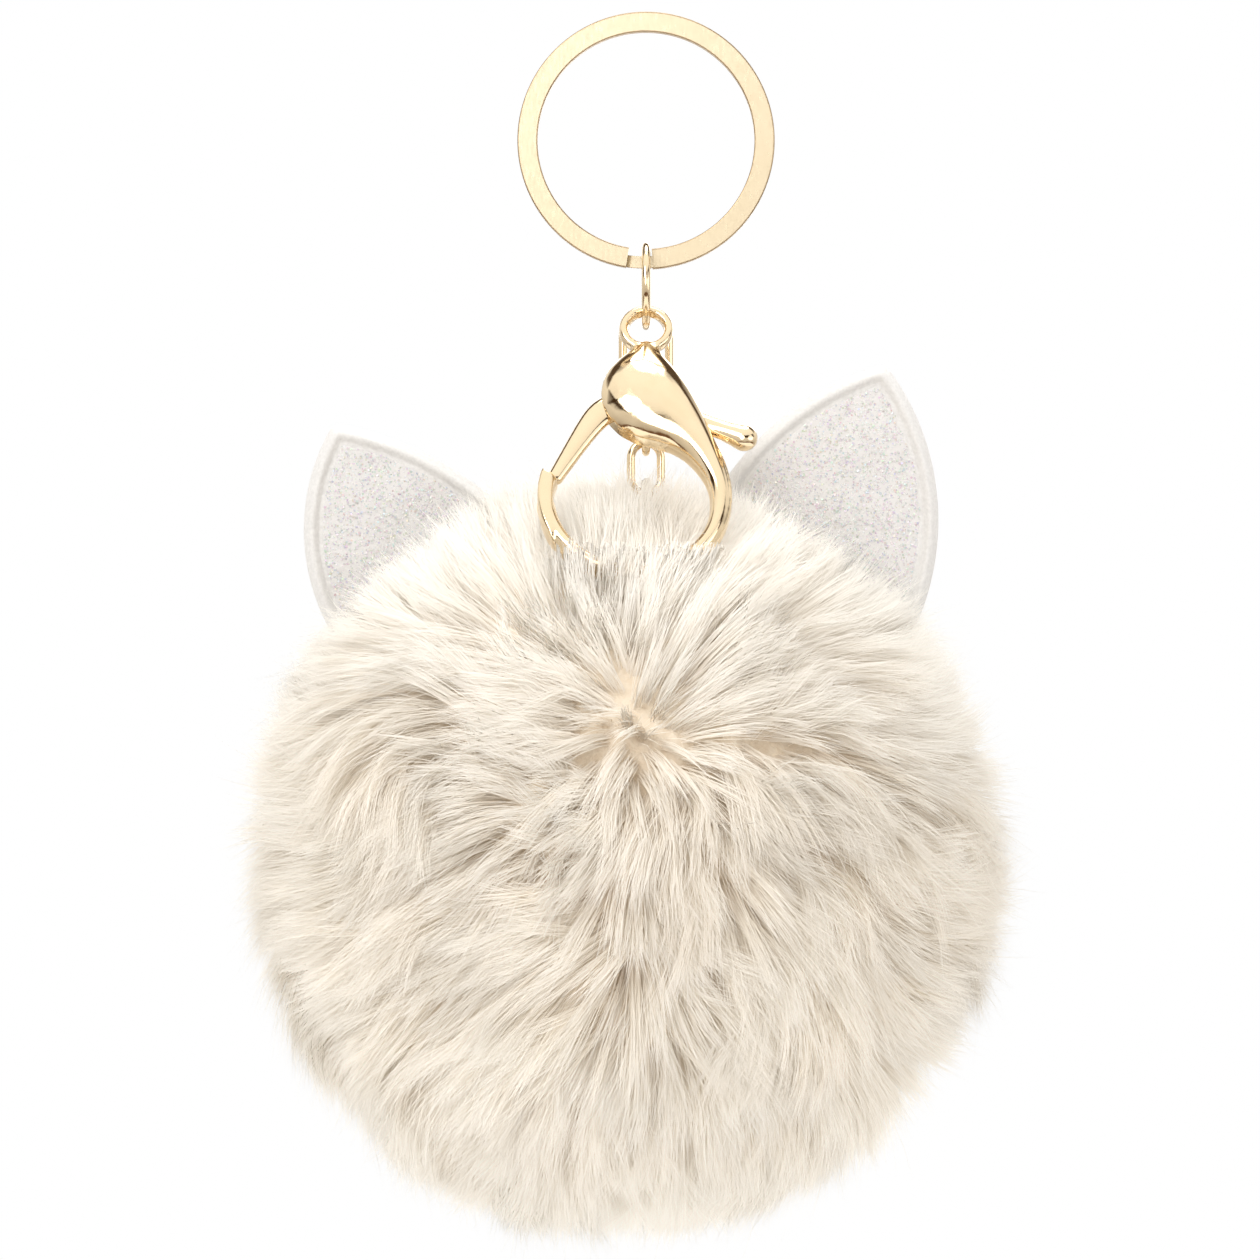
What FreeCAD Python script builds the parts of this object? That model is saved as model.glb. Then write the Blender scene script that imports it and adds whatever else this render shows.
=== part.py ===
import FreeCAD, Part
import math
import os
import Sketcher, PartDesign

# A plush keychain: a faux-fur ball with two cat ears on a short chain, and a lobster
# clasp beside the chain, both hung from a split key ring by one round jump ring.
# Millimetres. Origin at the split ring's centre, +Z up, +X right and -Y to the front.

V = FreeCAD.Vector
X, Y, Z = V(1, 0, 0), V(0, 1, 0), V(0, 0, 1)

SIZES = {
    # split key ring: two flat turns of spring steel, joined by a narrower crossing
    "split_outer": 15.0, "split_inner": 12.65, "split_turn": 0.82, "split_gap": 0.06,
    "crossing_inner": 13.5, "crossing_outer": 14.9, "split_bevel": 0.15,
    # round jump ring that carries both the clasp and the chain
    "jump_mean": 4.65, "jump_wire": 0.5, "jump_back": -1.0, "jump_drop": -16.98,
    # lobster clasp, measured from the middle of its eye; it leans forward over the ball,
    # square to the wire of the jump ring
    "lean": 31.0, "eye_outer": 3.15, "eye_inner": 2.15, "eye_play": 0.1,
    "eye_thick": 1.5, "hook_thick": 3.2, "hook_bevel": 0.35, "dome_sphere": 20.0,
    "dome_half": 2.1, "slot_thick": 1.7, "slot_top": -6.4, "slot_bottom": -15.6,
    "slot_left": -8.5, "slot_long": 18.0, "dome_out": 0.6, "dome_down": -9.6,
    "dome_round": 0.5, "eye_round": 0.4, "pivot_out": -1.5, "pivot_down": -10.2,
    "pin_wire": 0.6, "pin_half": 1.65,
    # gate lever with its thumb tab
    "gate_thick": 1.5, "gate_bore": 0.65, "hub_outer": 2.0, "knob_half": 1.4,
    "knob_out": 11.2, "knob_down": -14.9, "tip_reach": 13.6, "tip_gap": 0.1,
    "tip_left": -13.2, "tip_down": -21.6, "tip_wide": 4.0, "tip_high": 4.6, "tab_room": 20.0,
    # gate return spring, between the slot's roof and the lever
    "spring_coil": 0.5, "spring_wire": 0.13, "spring_out": 3.0, "spring_foot": -9.95,
    "spring_turns": 5, "spring_play": 0.03,
    # three oval links of the chain behind the clasp
    "chain_back": 0.9, "link_wire": 0.5, "upper_top": -19.5, "upper_bend": 2.7,
    "upper_straight": 3.7, "middle_bend": 1.5, "middle_straight": 5.26,
    "lower_bend": 1.75, "lower_straight": 2.4, "link_play": 0.08,
    # cord loop, its knot and the thread that gathers the backing
    "cord_half": 0.6, "cord_bend": 1.2, "cord_legs": 15.2, "knot_half": 2.4,
    "knot_drop": -57.6, "knot_play": 0.3, "thread_mean": 2.75, "thread_half": 0.3,
    "neck_half": 3.4, "neck_high": 12.0,
    # fur ball
    "ball_out": -2.4, "ball_drop": -83.5, "pile_outer": 43.5, "backing_outer": 29.5,
    "backing_thick": 0.8, "layer_gap": 0.05, "well_sphere": 13.5, "well_mid": -34.0,
    "pocket_reach": 35.4, "pocket_depth": 4.2, "pocket_front": 16.0,
    # cat ears: a soft tray that wraps a filling, with a sparkle panel let into its front
    "ear_back": 2.4, "ear_thick": 3.2, "ear_wall": 0.8, "ear_rim": 1.3,
    "panel_thick": 0.5, "slot_play": 0.25, "cover_round": 0.6, "tip_round": 1.1,
}


def new_sheet(doc):
    sheet = doc.addObject("Spreadsheet::Sheet", "sizes")
    for row, (name, value) in enumerate(SIZES.items(), start=1):
        sheet.set(f"A{row}", name)
        sheet.set(f"B{row}", str(value))
        sheet.setAlias(f"B{row}", name)
    return sheet


doc = FreeCAD.newDocument("plush_keychain")
sheet = new_sheet(doc)
doc.recompute()
NODES = []


def size(name):
    return float(getattr(sheet, name))


def bind(obj, **expressions):
    """Binds properties to formulas in which a bare word is a cell of the sheet."""
    for prop, formula in expressions.items():
        words = formula.replace("(", " ( ").replace(")", " ) ").split()
        obj.setExpression(prop.replace("__", "."), " ".join(
            f"sizes.{w}" if w in SIZES else w for w in words))


def place(obj, out="0", back="0", up="0", axis=None, degrees=0):
    if axis is not None:
        obj.Placement = FreeCAD.Placement(V(0, 0, 0), FreeCAD.Rotation(axis, degrees))
    bind(obj, Placement__Base__x=out, Placement__Base__y=back, Placement__Base__z=up)
    return obj


def primitive(kind, name, **expressions):
    obj = doc.addObject(f"Part::{kind}", name)
    bind(obj, **expressions)
    return obj


def torus(name, mean, wire, sweep=360):
    ring = primitive("Torus", name, Radius1=mean, Radius2=wire)
    ring.Angle3 = sweep
    return ring


def cylinder(name, radius, height, sweep=360):
    rod = primitive("Cylinder", name, Radius=radius, Height=height)
    rod.Angle = sweep
    return rod


def sphere(name, radius):
    return primitive("Sphere", name, Radius=radius)


def box(name, length, width, height):
    return primitive("Box", name, Length=length, Width=width, Height=height)


def fuse(name, *shapes):
    obj = doc.addObject("Part::MultiFuse", name)
    obj.Shapes = list(shapes)
    obj.Refine = False
    return obj


def cut(name, base, tool):
    obj = doc.addObject("Part::Cut", name)
    obj.Base, obj.Tool = base, tool
    return obj


def common(name, first, second):
    obj = doc.addObject("Part::MultiCommon", name)
    obj.Shapes = [first, second]
    return obj


def node(obj, label):
    obj.Label = label
    NODES.append(obj)
    return obj


def plate(name, curves, thick, back, out="0", up="0"):
    """A body padded both ways from an upright outline drawn in X and Z."""
    body = doc.addObject("PartDesign::Body", name)
    sketch = body.newObject("Sketcher::SketchObject", name + "_sketch")
    upright = [f for f in body.Origin.OriginFeatures if f.Role == "XZ_Plane"][0]
    sketch.AttachmentSupport = [(upright, "")]
    sketch.MapMode = "FlatFace"
    for curve in curves:
        sketch.addGeometry(curve, False)
    pad = body.newObject("PartDesign::Pad", name + "_pad")
    pad.Profile = sketch
    pad.SideType = "Symmetric"
    bind(pad, Length=thick)
    return place(body, out, back, up)


def polygon(points):
    corners = [V(x, z, 0) for x, z in points]
    return [Part.LineSegment(a, b) for a, b in zip(corners, corners[1:] + corners[:1])]


def spline(points):
    curve = Part.BSplineCurve()
    curve.interpolate([V(x, z, 0) for x, z in points])
    return curve


def arc(start, via, end):
    return Part.Arc(*[V(x, z, 0) for x, z in (start, via, end)])


def line(start, end):
    return Part.LineSegment(V(*start, 0), V(*end, 0))


def rounded(name, base, radius, keep):
    """Fillets the edges of base for which keep(edge) is true."""
    doc.recompute()
    obj = doc.addObject("Part::Fillet", name)
    obj.Base = base
    picked = [n for n, edge in enumerate(base.Shape.Edges, start=1) if keep(edge)]
    obj.Edges = [(n, radius, radius) for n in picked]
    return obj


# ---- split key ring ---------------------------------------------------------------
# The crossing lies at the bottom, where the jump ring rides in its narrower neck.
CROSSING_FROM, CROSSING_TO = -9.0, 3.0  # degrees from straight down, as seen from the front
CROSSING_STEPS = 6


def split_turn(name, back):
    """One flat turn, open where the crossing is."""
    sweep = 360 - (CROSSING_TO - CROSSING_FROM)
    disc = cylinder(name + "_disc", "split_outer", "split_turn", sweep)
    hole = cylinder(name + "_hole", "split_inner", "split_turn", sweep)
    turn = rounded(name, cut(name + "_flat", disc, hole), size("split_bevel"), lambda edge:
                   isinstance(edge.Curve, Part.Circle))
    start = FreeCAD.Rotation(Y, 90 - CROSSING_TO)
    turn.Placement = FreeCAD.Placement(V(0, 0, 0), start * FreeCAD.Rotation(X, 90))
    bind(turn, Placement__Base__y=back)
    return turn


def crossing(name):
    """The neck that steps from the front turn down to the back one."""
    inner, outer = size("crossing_inner"), size("crossing_outer")
    thick, gap = size("split_turn"), size("split_gap")
    sections = []
    for n in range(CROSSING_STEPS + 1):
        share = n / CROSSING_STEPS
        angle = math.radians(CROSSING_TO + (CROSSING_FROM - CROSSING_TO) * share)
        front = -(thick + gap / 2) + (thick + gap) * share
        along = V(math.sin(angle), 0, -math.cos(angle))
        corners = [along * r + V(0, y, 0) for r, y in (
            (inner, front), (outer, front), (outer, front + thick), (inner, front + thick))]
        sections.append(Part.makePolygon(corners + corners[:1]))
    neck = doc.addObject("Part::Feature", name)
    neck.Shape = Part.makeLoft(sections, True, True)
    return neck


def split_ring():
    front = split_turn("split_front", "- split_gap / 2")
    back = split_turn("split_rear", "split_turn + split_gap / 2")
    node(fuse("split_ring", front, back, crossing("split_crossing")), "split_ring")


# ---- jump ring and chain ----------------------------------------------------------
def jump_ring():
    ring = torus("jump_ring", "jump_mean", "jump_wire")
    node(place(ring, "0", "jump_back", "jump_drop", Y, 90), "jump_ring")


def oval(label, bend, straight, wire, back, top_mid, edge_on=False):
    """An oval link or loop. top_mid is the height of its top bend's centre."""
    top = place(torus(label + "_top", bend, wire, 180), axis=X, degrees=90)
    low = place(torus(label + "_low", bend, wire, 180), up=f"- ( {straight} )", axis=X, degrees=-90)
    legs = []
    for side, sign in (("left", "-1"), ("right", "1")):
        leg = cylinder(f"{label}_{side}", wire, straight)
        legs.append(place(leg, out=f"{sign} * {bend}", up=f"- ( {straight} )"))
    link = fuse(label, top, low, *legs)
    node(place(link, "0", back, top_mid, Z, 90 if edge_on else 0), label)


# Height of each top bend's centre: a link rests on the wire that it hangs from.
UPPER_MID = "( upper_top - link_wire - upper_bend )"
UPPER_SEAT = f"( {UPPER_MID} - upper_straight - upper_bend + link_wire )"
MIDDLE_MID = f"( {UPPER_SEAT} + link_play + link_wire - middle_bend )"
MIDDLE_SEAT = f"( {MIDDLE_MID} - middle_straight - middle_bend + link_wire )"
LOWER_MID = f"( {MIDDLE_SEAT} + link_play + link_wire - lower_bend )"
LOWER_SEAT = f"( {LOWER_MID} - lower_straight - lower_bend + link_wire )"
CORD_MID = f"( {LOWER_SEAT} + link_play + cord_half - cord_bend )"


def chain():
    oval("upper_link", "upper_bend", "upper_straight", "link_wire", "chain_back", UPPER_MID)
    oval("middle_link", "middle_bend", "middle_straight", "link_wire", "chain_back",
         MIDDLE_MID, edge_on=True)
    oval("lower_link", "lower_bend", "lower_straight", "link_wire", "chain_back", LOWER_MID)


# ---- lobster clasp ----------------------------------------------------------------
# Outlines are drawn upright, from the middle of the eye, and the finished pieces lean.
HOOK_OUTER = [(4.6, -9.6), (8.2, -16.3), (9.8, -23.1), (6.6, -31.2), (-1.3, -34.4),
              (-9.2, -31.2), (-12.4, -24.0), (-11.9, -19.7)]
HOOK_INNER = [(-10.0, -20.9), (-10.6, -24.1), (-8.0, -29.8), (-1.3, -32.6),
              (5.4, -29.8), (8.0, -23.1), (6.4, -17.0), (2.6, -11.2)]
TEARDROP_LEFT = [(-1.3, -2.2), (-2.6, -5.0), (-4.9, -8.4), (-5.0, -11.2), (-4.0, -13.1)]
TEARDROP_BASE = [(-4.0, -13.1), (0.6, -13.9), (5.2, -15.7), (7.4, -17.0)]
TEARDROP_RIGHT = [(7.4, -17.0), (7.3, -14.7), (5.4, -11.0), (2.2, -4.9), (1.3, -2.2)]
LONG_SIDE, CROWN_RISE, CROWN_FROM = 3.0, 0.9, 0.8  # picks the housing's crowned edges
RIM_SIDE = 10.0  # every edge of the hook that is longer than this runs along its rim
GATE_ARM = [(-3.0, -7.3), (-5.4, -8.9), (-11.6, -20.2), (-10.2, -21.5), (-4.4, -12.7),
            (-1.5, -12.4)]
TAB_ARM = [(-1.0, -8.3), (6.4, -11.5), (11.2, -13.9), (11.2, -15.9), (6.6, -14.3),
           (-2.6, -12.4)]


def lean(obj):
    """Hangs a piece drawn from the eye's middle on the front of the jump ring's wire."""
    angle = math.radians(size("lean"))
    reach = size("jump_mean") + size("eye_inner") - size("jump_wire") - size("eye_play")
    eye = V(0, size("jump_back") - reach * math.sin(angle),
            size("jump_drop") - reach * math.cos(angle))
    doc.recompute()
    drawn = obj.Placement
    for along in "xyz":
        obj.setExpression(f"Placement.Base.{along}", None)
    obj.Placement = FreeCAD.Placement(eye, FreeCAD.Rotation(X, -size("lean"))) * drawn
    return obj


def clasp_plate(name, curves, thick):
    return plate(name, curves, thick, "0")


def clasp_rod(name, radius, half_length, out="0", down="0"):
    rod = cylinder(name, radius, f"2 * {half_length}")
    return place(rod, out, half_length, down, X, 90)


def round_crown(edge):
    """True for a long edge that lies round one of the housing's crowned faces."""
    start, end = edge.valueAt(edge.FirstParameter), edge.valueAt(edge.LastParameter)
    across = edge.Length > LONG_SIDE and abs(start.y - end.y) < CROWN_RISE
    return across and abs(edge.CenterOfMass.y) > CROWN_FROM


def clasp_dome():
    """The teardrop housing: an upright outline with both faces crowned."""
    outline = [spline(TEARDROP_LEFT), spline(TEARDROP_BASE), spline(TEARDROP_RIGHT),
               line(TEARDROP_RIGHT[-1], TEARDROP_LEFT[0])]
    blank = clasp_plate("dome_blank", outline, "2 * dome_half")
    front = sphere("dome_front", "dome_sphere")
    place(front, "dome_out", "dome_sphere - dome_half", "dome_down")
    rear = sphere("dome_rear", "dome_sphere")
    place(rear, "dome_out", "dome_half - dome_sphere", "dome_down")
    crowned = common("dome_crowned", blank, common("dome_lens", front, rear))
    return rounded("dome", crowned, size("dome_round"), round_crown)


def clasp_hook():
    outline = [spline(HOOK_OUTER), line(HOOK_OUTER[-1], HOOK_INNER[0]), spline(HOOK_INNER),
               line(HOOK_INNER[-1], HOOK_OUTER[0])]
    blank = clasp_plate("hook_blank", outline, "hook_thick")
    return rounded("hook", blank, size("hook_bevel"), lambda edge: edge.Length > RIM_SIDE)


def clasp_eye():
    disc = clasp_rod("eye_disc", "eye_outer", "eye_thick / 2")
    return rounded("eye", disc, size("eye_round"), lambda edge:
                   isinstance(edge.Curve, Part.Circle))


def clasp_body():
    solid = fuse("clasp_solid", clasp_eye(), clasp_dome(), clasp_hook())
    slot = box("gate_slot", "slot_long", "slot_thick", "slot_top - slot_bottom")
    place(slot, "slot_left", "- slot_thick / 2", "slot_bottom")
    hole = clasp_rod("eye_hole", "eye_inner", "eye_thick")
    pin_hole = clasp_rod("pin_hole", "pin_wire", "pin_half", "pivot_out", "pivot_down")
    sweep = clasp_rod("tip_sweep", "tip_reach + tip_gap", "hook_thick", "pivot_out", "pivot_down")
    corner = box("tip_corner", "tip_wide", "2 * hook_thick", "tip_high")
    place(corner, "tip_left", "- hook_thick", "tip_down")
    tip_clear = common("tip_clear", sweep, corner)
    tools = fuse("clasp_tools", slot, hole, pin_hole, tip_clear)
    node(lean(cut("clasp_body", solid, tools)), "clasp_body")


def clasp_gate():
    arm = clasp_plate("gate_arm", polygon(GATE_ARM), "gate_thick")
    tab = clasp_plate("gate_tab", polygon(TAB_ARM), "gate_thick")
    hub = clasp_rod("gate_hub", "hub_outer", "gate_thick / 2", "pivot_out", "pivot_down")
    knob = place(sphere("gate_knob", "knob_half"), "knob_out", "0", "knob_down")
    lever = fuse("gate_lever", arm, tab, hub, knob)
    reach = clasp_rod("gate_reach", "tip_reach", "hook_thick", "pivot_out", "pivot_down")
    keep_tab = box("gate_keep_tab", "tab_room", "2 * hook_thick", "tab_room")
    place(keep_tab, "0", "- hook_thick", "- tab_room")
    trimmed = common("gate_trimmed", lever, fuse("gate_envelope", reach, keep_tab))
    bore = clasp_rod("gate_bore_tool", "gate_bore", "gate_thick", "pivot_out", "pivot_down")
    node(lean(cut("clasp_gate", trimmed, bore)), "clasp_gate")


def clasp_pin():
    pin = clasp_rod("clasp_pin", "pin_wire", "pin_half", "pivot_out", "pivot_down")
    node(lean(pin), "clasp_pin")


def clasp_spring():
    """A small coil between the roof of the slot and the lever."""
    coil, wire = size("spring_coil"), size("spring_wire")
    foot, roof = size("spring_foot") + wire, size("slot_top") - wire
    play = size("spring_play")
    length = roof - foot - 2 * play
    helix = Part.makeHelix(length / size("spring_turns"), length, coil)
    section = Part.Wire(Part.makeCircle(wire, V(coil, 0, 0), Y))
    spring = doc.addObject("Part::Feature", "clasp_spring")
    spring.Shape = Part.Wire(helix).makePipeShell([section], True, True)
    spring.Placement = FreeCAD.Placement(
        V(size("spring_out"), 0, foot + play), FreeCAD.Rotation())
    node(lean(spring), "clasp_spring")


# ---- fur ball ---------------------------------------------------------------------
def at_ball(obj):
    return place(obj, "ball_out", "chain_back", "ball_drop")


def hanging_loop():
    """A hairpin of cord, held by the lower link and ending in the knot inside the ball."""
    top = place(torus("cord_top", "cord_bend", "cord_half", 180), axis=X, degrees=90)
    legs = []
    for side, sign in (("left", "-1"), ("right", "1")):
        leg = cylinder(f"cord_{side}", "cord_half", "cord_legs")
        legs.append(place(leg, out=f"{sign} * cord_bend", up="- cord_legs"))
    hairpin = fuse("cord_hairpin", top, *legs)
    place(hairpin, "0", "chain_back", CORD_MID, Z, 90)
    node(cut("hanging_loop", hairpin, knot_ball("cord_end_tool")), "hanging_loop")


def knot_ball(name):
    return place(sphere(name, "knot_half"), "0", "chain_back", "knot_drop")


def neck(name):
    """The gathered opening at the top of the ball, which the cord passes."""
    tube = cylinder(name, "neck_half", "neck_high")
    return place(tube, "0", "chain_back", "knot_drop")


def stuffing():
    ball = at_ball(sphere("stuffing_ball", "backing_outer - backing_thick - layer_gap"))
    room = place(sphere("knot_room", "knot_half + knot_play"), "0", "chain_back", "knot_drop")
    node(cut("stuffing", ball, fuse("stuffing_tools", room, neck("stuffing_neck"))), "stuffing")


def fur_backing():
    outside = at_ball(sphere("backing_outside", "backing_outer"))
    inside = at_ball(sphere("backing_inside", "backing_outer - backing_thick"))
    tools = fuse("backing_tools", inside, neck("backing_neck"))
    node(cut("fur_backing", outside, tools), "fur_backing")


def gather_thread():
    ring = torus("gather_thread", "thread_mean", "thread_half")
    node(place(ring, "0", "chain_back", "ball_drop + backing_outer - backing_thick"),
         "gather_thread")


def fur_pile():
    """The pile as a soft closed solid. A well at its top holds the end of the chain, and a
    pocket in its front leaves room for the clasp's hook to lie in and to swing."""
    outside = at_ball(sphere("pile_outside", "pile_outer"))
    inside = at_ball(sphere("pile_inside", "backing_outer + layer_gap"))
    well = place(sphere("pile_well", "well_sphere"), "0", "chain_back", "well_mid")
    pocket = cylinder("pile_pocket", "pocket_reach", "pocket_depth + pocket_front")
    lean(place(pocket, "0", "pocket_depth", "0", X, 90))
    slots = [plate(f"{side}_ear_slot", ear_outline(EARS[side], -size("slot_play")),
                   "ear_thick + 2 * slot_play", "ear_back") for side in EARS]
    tools = fuse("pile_tools", inside, well, pocket, neck("pile_neck"), *slots)
    node(cut("fur_pile", outside, tools), "fur_pile")


# ---- cat ears ---------------------------------------------------------------------
# Each ear: outer foot, a point on its outer edge, tip, a point on its top edge, inner
# foot and a point on its base, which follows the backing.
EARS = {
    "left": [(-30.5, -64.5), (-39.7, -49.5), (-36.6, -32.9), (-23.4, -37.7),
             (-8.8, -53.2), (-18.4, -57.9)],
    "right": [(26.5, -64.4), (34.1, -47.2), (28.0, -25.9), (15.2, -32.8),
              (3.8, -53.0), (13.4, -58.3)],
}
LEVEL = 1e-6


def ear_face(points, inset):
    """The ear's outline as a face, moved inwards by inset and rounded at its corners."""
    foot, side, tip, top, inner, base = [V(x, 0, z) for x, z in points]
    edges = [Part.Arc(foot, side, tip).toShape(), Part.Arc(tip, top, inner).toShape(),
             Part.Arc(inner, base, foot).toShape()]
    wire = Part.Wire(edges)
    shrunk = wire.makeOffset2D(-(inset + size("tip_round")), 0, False, False)
    return shrunk.makeOffset2D(size("tip_round"), 0, False, False)


def ear_outline(points, inset):
    """The same outline as sketch geometry."""
    curves = []
    for edge in ear_face(points, inset).Edges:
        start, mid, end = [edge.valueAt(edge.FirstParameter + share * (
            edge.LastParameter - edge.FirstParameter)) for share in (0, 0.5, 1)]
        curves.append(arc((start.x, start.z), (mid.x, mid.z), (end.x, end.z)))
    return curves


def ear(side):
    points = EARS[side]
    wall, rim, panel = size("ear_wall"), size("ear_rim"), size("panel_thick")
    shell = plate(f"{side}_ear_blank", ear_outline(points, 0), "ear_thick", "ear_back")
    room = plate(f"{side}_ear_room", ear_outline(points, rim), "ear_thick",
                 "ear_back - ear_wall")
    cover = rounded(f"{side}_ear_soft", shell, size("cover_round"), lambda edge: abs(
        edge.valueAt(edge.FirstParameter).y - edge.valueAt(edge.LastParameter).y) < LEVEL)
    node(cut(f"{side}_ear_cover", cover, room), f"{side}_ear_cover")
    front = size("ear_back") - size("ear_thick") / 2
    depth = size("ear_thick") - wall
    gap = size("layer_gap")
    sparkle = plate(f"{side}_ear_panel", ear_outline(points, rim + gap), "panel_thick",
                    str(front + panel / 2))
    node(sparkle, f"{side}_ear_panel")
    filling = plate(f"{side}_ear_filling", ear_outline(points, rim + gap),
                    str(depth - panel - 2 * gap), str(front + (panel + gap + depth - gap) / 2))
    node(filling, f"{side}_ear_filling")


def failures():
    """Objects that recomputed badly, and nodes whose shape isn't one sound solid."""
    bad = [o.Name for o in doc.Objects if "Invalid" in o.State or "Error" in o.State]
    for obj in NODES:
        shape = obj.Shape
        if shape.isNull() or not shape.isValid() or len(shape.Solids) != 1:
            bad.append(f"{obj.Label} ({len(shape.Solids)} solids)")
    return bad


def main():
    split_ring()
    jump_ring()
    chain()
    clasp_body()
    clasp_gate()
    clasp_pin()
    clasp_spring()
    hanging_loop()
    node(knot_ball("loop_knot"), "loop_knot")
    gather_thread()
    stuffing()
    fur_backing()
    fur_pile()
    for side in EARS:
        ear(side)
    doc.recompute()
    bad = failures()
    if bad:
        raise SystemExit("failed: " + ", ".join(bad))
    os.makedirs("parts", exist_ok=True)
    for obj in NODES:
        obj.Shape.exportStep(f"parts/{obj.Label}.step")
        print(f"{obj.Label:18s} {obj.Shape.Volume:10.2f} mm3")


main()
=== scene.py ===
import bmesh
import bpy
import math
import numpy as np
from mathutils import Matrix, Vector, kdtree


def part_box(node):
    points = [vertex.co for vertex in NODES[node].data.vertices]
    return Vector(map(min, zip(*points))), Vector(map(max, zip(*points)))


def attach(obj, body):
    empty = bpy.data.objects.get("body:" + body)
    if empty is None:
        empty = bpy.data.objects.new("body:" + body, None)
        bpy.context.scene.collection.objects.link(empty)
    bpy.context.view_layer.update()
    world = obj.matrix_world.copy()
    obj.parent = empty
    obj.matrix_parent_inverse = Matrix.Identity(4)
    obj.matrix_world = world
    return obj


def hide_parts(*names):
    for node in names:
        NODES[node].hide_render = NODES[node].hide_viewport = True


# The looks of a plush keychain: a faux-fur ball with two cat ears, hung by a short chain
# beside a lobster clasp. Shapes are worked out in millimetres and written in metres.

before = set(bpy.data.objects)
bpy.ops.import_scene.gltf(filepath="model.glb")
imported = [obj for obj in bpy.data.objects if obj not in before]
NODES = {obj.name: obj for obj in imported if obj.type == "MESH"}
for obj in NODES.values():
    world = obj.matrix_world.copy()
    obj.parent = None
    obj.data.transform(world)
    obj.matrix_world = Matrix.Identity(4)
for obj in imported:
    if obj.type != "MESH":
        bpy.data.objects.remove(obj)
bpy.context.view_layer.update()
MM = 0.001


def middle(node):
    """The middle of a CAD node, in millimetres."""
    low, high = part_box(node)
    return np.array([(a + b) / 2 / MM for a, b in zip(low, high)])


BALL = middle("fur_backing")
CHAIN = middle("hanging_loop")


# ---- small helpers ------------------------------------------------------------------
def unit(vectors):
    """Vectors of length 1."""
    return vectors / np.maximum(np.linalg.norm(vectors, axis=-1, keepdims=True), 1e-9)


def smooth(low, high, value):
    """A soft step from 0 at low to 1 at high."""
    share = np.clip((value - low) / (high - low), 0.0, 1.0)
    return share * share * (3.0 - 2.0 * share)


def field(points, wavelength, seed, waves=28):
    """Smooth seeded noise with a spread of about 1, over points in millimetres."""
    rng = np.random.default_rng(seed)
    pull = unit(rng.normal(size=(waves, 3))) * rng.uniform(0.6, 1.4, (waves, 1))
    phase = rng.uniform(0, 2 * math.pi, waves)
    return np.sin(points @ pull.T * (2 * math.pi / wavelength) + phase).sum(1) * math.sqrt(2 / waves)


def spread_out(count, seed):
    """Directions spread evenly over the sphere, with a little seeded scatter."""
    rng = np.random.default_rng(seed)
    step = np.arange(count) + 0.5
    up = 1 - 2 * step / count
    turn = step * math.pi * (3 - math.sqrt(5))
    flat = np.sqrt(1 - up * up)
    even = np.stack([flat * np.cos(turn), flat * np.sin(turn), up], 1)
    return unit(even + rng.normal(size=(count, 3)) * 0.9 / math.sqrt(count))


def new_mesh(name, verts, faces_by_size, smooth_faces=True):
    """A mesh object from an (n, 3) array in millimetres and index arrays of quads and triangles."""
    mesh = bpy.data.meshes.new(name)
    mesh.vertices.add(len(verts))
    mesh.vertices.foreach_set("co", (np.asarray(verts) * MM).astype(np.float32).ravel())
    loops = np.concatenate([f.ravel() for f in faces_by_size]).astype(np.int32)
    sides = np.concatenate([np.full(len(f), f.shape[1]) for f in faces_by_size])
    starts = np.concatenate([[0], np.cumsum(sides)[:-1]]).astype(np.int32)
    mesh.loops.add(len(loops))
    mesh.loops.foreach_set("vertex_index", loops)
    mesh.polygons.add(len(sides))
    mesh.polygons.foreach_set("loop_start", starts)
    mesh.polygons.foreach_set("use_smooth", np.full(len(sides), smooth_faces))
    mesh.update(calc_edges=True)
    mesh.validate()
    obj = bpy.data.objects.new(name, mesh)
    bpy.context.scene.collection.objects.link(obj)
    return obj


def tone(obj, values):
    """Stores an (n, 3) array per vertex as the colour attribute "tone"."""
    layer = obj.data.color_attributes.new("tone", "FLOAT_COLOR", "POINT")
    rgba = np.ones((len(values), 4), np.float32)
    rgba[:, :3] = values
    layer.data.foreach_set("color", rgba.ravel())


def read_points(mesh):
    """A mesh's points as an (n, 3) array in millimetres."""
    flat = np.empty(len(mesh.vertices) * 3, np.float32)
    mesh.vertices.foreach_get("co", flat)
    return flat.reshape(-1, 3).astype(float) / MM


def write_points(mesh, points):
    mesh.vertices.foreach_set("co", (points * MM).astype(np.float32).ravel())
    mesh.update()


def shade_smooth(mesh):
    mesh.polygons.foreach_set("use_smooth", np.ones(len(mesh.polygons), bool))


def applied(obj):
    """Applies an object's modifiers and returns its new mesh."""
    graph = bpy.context.evaluated_depsgraph_get()
    mesh = bpy.data.meshes.new_from_object(obj.evaluated_get(graph))
    obj.modifiers.clear()
    obj.data = mesh
    return mesh


def nearest(ways, homes):
    """For each direction, the number of the nearest home direction."""
    tree = kdtree.KDTree(len(homes))
    for number, home in enumerate(homes):
        tree.insert(home, number)
    tree.balance()
    return np.array([tree.find(way)[1] for way in ways])


def finish_piece(obj, body, slot, material, *replaced):
    """Gives a piece its material, the body it rides and the nodes it replaces; its slot is not used.
    """
    obj.data.materials.clear()
    obj.data.materials.append(material)
    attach(obj, body)
    if replaced:
        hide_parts(*replaced)
    return obj


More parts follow.
